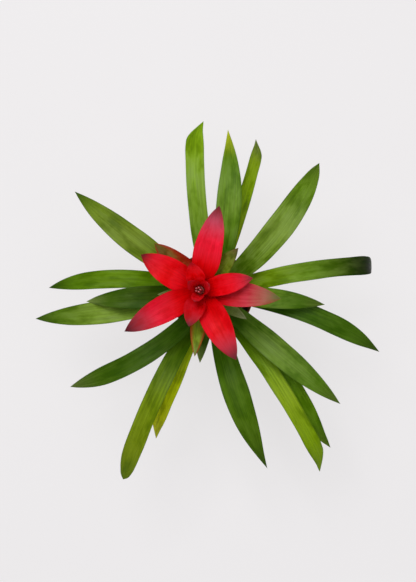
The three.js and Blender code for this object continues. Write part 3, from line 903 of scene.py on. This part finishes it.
def build_soil():
    ring = soil_surface()
    inner, inner_height, outer, outer_height = ring
    low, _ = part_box("potting_mix")
    # Narrower points belong to the well that holds the rootstock.
    walls = [
        (radius, height)
        for height, radius in outer_profile("potting_mix")
        if radius > WELL_LIMIT and height < outer_height
    ]
    top = [(radius, ring_height(ring, radius)) for radius in np.linspace(outer, inner, SOIL_RINGS)]
    sunk = inner_height - SOIL_DIP
    shape = [(0, low.z), *walls, *top, (inner * 0.7, sunk), (0, sunk)]

    def lumpy(spot):
        radius = math.hypot(spot.x, spot.y)
        if spot.z < outer_height - 1 * MM or radius < inner * 0.95:
            return spot
        ease = min(1, (outer - radius) / (2 * MM)) * 0.9
        lump = noise.noise(spot * 170) * 1.1 + noise.noise(spot * 420) * 0.7
        return spot + Vector((0, 0, MM * ease * lump))

    skin = grit_material("soil_skin", "#3b2c20", "#1f1610", 0.95)
    attach(lathe("soil", shape, SOIL_SIDES, [skin], lumpy), "potting_mix", "potting_mix")

    rng = random.Random(GRIT_SEED)
    for name, grit in GRITS.items():
        work = bmesh.new()
        for _ in range(grit["count"]):
            add_grain(work, rng, grit, ring)
        mesh = bpy.data.meshes.new(name)
        work.to_mesh(mesh)
        work.free()
        mesh.materials.append(grit_material(name + "_skin", *grit["colours"], 0.9))
        piece = bpy.data.objects.new(name, mesh)
        bpy.context.scene.collection.objects.link(piece)
        sharpen(piece, 30)
        attach(piece, "potting_mix")


# ---- rootstock, stalk and flowers ----


def build_rootstock():
    low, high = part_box("rootstock")
    outline = [(radius, height) for height, radius in outer_profile("rootstock")]
    corners = [(0, low.z), *outline, (0, high.z)]
    graph = Graph("rootstock_skin")
    place = graph.place()
    rings = graph.noise(graph.stretch(place, (60, 60, 700)), 1.0, 3.0)
    colour = graph.mix(graph.remap(rings, 0.35, 0.65), linear("#8a8148"), linear("#5a5226"))
    normal = graph.bump(rings, 0.0008, 0.6)
    graph.finish(Base_Color=colour, Roughness=0.8, Normal=normal, Specular_IOR_Level=0.25)

    def gnarled(spot):
        out = Vector((spot.x, spot.y, 0))
        return spot - out * 0.01 * (1 + noise.noise(spot * 300))

    stock = lathe("stem_base", rounded(corners, 0.8 * MM), 96, [graph.material], gnarled)
    attach(stock, "rootstock", "rootstock")


STALK_ROWS = 121
STALK_SIDES = 48
STALK_RIBS = 9
RIB_DEPTH = 0.012  # as a share of the stalk's radius
END_ROUNDING = 0.03  # of the radius, off the stalk's two end rings
RING_GAP = 5 * MM  # the stalk's CAD rings stand further apart than this, and their points less
FLOWER_FOOT = 11  # points in the foot of a CAD flower: ten round it and its centre
FLOWER_ROWS = 30
FLOWER_SIDES = 24
PETAL_DEPTH = 0.13  # of the grooves between petals at the tip, as a share of the radius
FLOWER_TINT_AND_HIGHLIGHT = 16 * MM  # the flowers' colours run over this height below their tips


def stalk_rows():
    """Centres and mean radius of the stalk's CAD rings, from the foot up."""
    points, _ = joined("flower_stalk")
    points = points[np.argsort(points[:, 2])]
    breaks = np.where(np.diff(points[:, 2]) > RING_GAP)[0] + 1
    rings = np.split(points, breaks)
    centres = np.array([ring.mean(axis=0) for ring in rings])
    radius = np.mean([np.linalg.norm(ring - ring.mean(axis=0), axis=1).mean() for ring in rings])
    return centres, radius


def build_stalk():
    centres, radius = stalk_rows()
    knots = np.arange(len(centres), dtype=float)
    rows = cubic(centres, knots, np.linspace(0, knots[-1], STALK_ROWS))
    graph = Graph("stalk_skin")
    place = graph.place()
    streaks = graph.noise(graph.stretch(place, (600, 600, 30)), 1.0, 3.0)
    height = graph.add("SeparateXYZ", {}, {0: place}).outputs[2]
    low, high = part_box("flower_stalk")
    share = graph.remap(height, low.z, high.z)
    stops = [(0.0, "#8a9448"), (0.6, "#6f7a34"), (0.85, "#8a4a28"), (1.0, "#a01c18")]
    colour = graph.ramp(share, stops)
    colour = graph.mix(graph.remap(streaks, 0.4, 0.7, 0.0, 0.4), colour, linear("#4f5c20"))
    normal = graph.bump(streaks, 0.0004, 0.5)
    graph.finish(Base_Color=colour, Roughness=0.5, Normal=normal, Specular_IOR_Level=0.35)

    def ribbed(angle, row):
        end = END_ROUNDING if row in (0, STALK_ROWS - 1) else 0
        return 1 - RIB_DEPTH * (1 + math.cos(STALK_RIBS * angle)) / 2 - end

    stalk = tube("stalk", rows, [radius] * len(rows), STALK_SIDES, [graph.material], ribbed)
    sharpen(stalk, 50)
    attach(stalk, "stalk", "flower_stalk")


def build_flowers():
    graph = Graph("flower_skin")
    place = graph.place()
    height = graph.add("SeparateXYZ", {}, {0: place}).outputs[2]
    _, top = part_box("flower_1")
    # The flowers pale towards their tips, partly their own tint and partly a painted highlight.
    share = graph.remap(height, top.z - FLOWER_TINT_AND_HIGHLIGHT, top.z)
    stops = [(0.0, "#b01422"), (0.5, "#d43448"), (0.85, "#ec5468"), (1.0, "#f89ca4")]
    colour = graph.ramp(share, stops)
    speck = graph.noise(place, 1200.0, 2.0)
    colour = graph.mix(graph.remap(speck, 0.4, 0.7, 0.0, 0.25), colour, linear("#d06a70"))
    normal = graph.bump(speck, 0.0003, 0.3)
    graph.finish(Base_Color=colour, Roughness=0.45, Normal=normal, Specular_IOR_Level=0.4)
    for number in range(1, 6):
        node = f"flower_{number}"
        points, neighbours = joined(node)
        tip = points[points[:, 2].argmax()]
        foot = points[np.argsort(points[:, 2])][:FLOWER_FOOT].mean(axis=0)
        axis = tip - foot
        reach = [np.linalg.norm(np.cross(p - foot, axis)) / np.linalg.norm(axis) for p in points]
        widest = max(reach)
        share = np.linspace(0, 1, FLOWER_ROWS)
        belly = 0.72 + 0.28 * np.sin(share * math.pi * 0.6)
        rounded_tip = np.sqrt(np.clip(1 - share**9, 0.02, 1))
        outline = widest * belly * rounded_tip
        rows = foot + axis * share[:, None]

        def petals(angle, row):
            fold = abs(math.sin(1.5 * angle + number)) ** 0.5
            return 1 - PETAL_DEPTH * fold * (row / (FLOWER_ROWS - 1)) ** 2

        flower = tube(node + "_bud", rows, outline, FLOWER_SIDES, [graph.material], petals)
        attach(flower, "flower", node)


# ---- stage ----

FLOOR_REACH = 40
WALL_TOP = 0.16  # sine of the angle above the horizon where the walls start to darken
CEILING_EDGE = 0.4  # and where the ceiling starts
WALL_LIGHT = 0.8
CEILING_LIGHT = 0.2


def area_light(name, place, size, power, target=(0, 0, 0.2)):
    light = bpy.data.lights.new(name, "AREA")
    light.shape = "SQUARE"
    light.size = size
    light.energy = power
    lamp = bpy.data.objects.new(name, light)
    lamp.location = place
    direction = Vector(target) - Vector(place)
    lamp.rotation_euler = direction.to_track_quat("-Z", "Y").to_euler()
    bpy.context.scene.collection.objects.link(lamp)


def build_floor():
    graph = Graph("floor_skin")
    mottle = graph.noise(graph.place(), 2.0, 2.0)
    colour = graph.mix(graph.remap(mottle, 0.3, 0.7), linear("#868485"), linear("#848283"))
    # The floor glows a little, so that the plant's shadow stays soft and pale.
    graph.finish(
        Base_Color=colour,
        Roughness=0.9,
        Specular_IOR_Level=0.1,
        Emission_Color=linear("#eeeced"),
        Emission_Strength=0.79,
    )
    near, far = -FLOOR_REACH, FLOOR_REACH
    corners = [(near, near, 0), (far, near, 0), (far, far, 0), (near, far, 0)]
    floor = object_from("floor", corners, [(0, 1, 2, 3)], [graph.material])


def build_world():
    """A studio whose walls are paler than its ceiling."""
    world = bpy.data.worlds.new("studio")
    world.use_nodes = True
    tree = world.node_tree
    direction = tree.nodes.new("ShaderNodeTexCoord")
    parts = tree.nodes.new("ShaderNodeSeparateXYZ")
    fall = tree.nodes.new("ShaderNodeMapRange")
    background = tree.nodes["Background"]
    background.inputs["Color"].default_value = (0.93, 0.925, 0.93, 1)
    names = ("From Min", "From Max", "To Min", "To Max")
    for name, value in zip(names, (WALL_TOP, CEILING_EDGE, WALL_LIGHT, CEILING_LIGHT)):
        fall.inputs[name].default_value = value
    tree.links.new(direction.outputs["Generated"], parts.inputs[0])
    tree.links.new(parts.outputs[2], fall.inputs["Value"])
    tree.links.new(fall.outputs[0], background.inputs["Strength"])
    bpy.context.scene.world = world


def build_stage():
    build_floor()
    build_world()
    area_light("key_softbox", (-0.5, 0.9, 2.1), 0.9, 20)
    area_light("top_softbox", (0.25, 0.1, 2.7), 2.0, 18)


def build_camera():
    camera = bpy.data.cameras.new("camera")
    camera.lens = CAMERA_LENS
    camera.sensor_width = 36
    camera.clip_end = 50
    holder = bpy.data.objects.new("camera", camera)
    holder.location = CAMERA_PLACE
    bpy.context.scene.collection.objects.link(holder)
    bpy.context.scene.camera = holder


build_camera()
build_stage()
build_leaves()
build_bracts()
build_pot()
build_soil()
build_rootstock()
build_stalk()
build_flowers()

bpy.context.scene.view_settings.view_transform = "Standard"
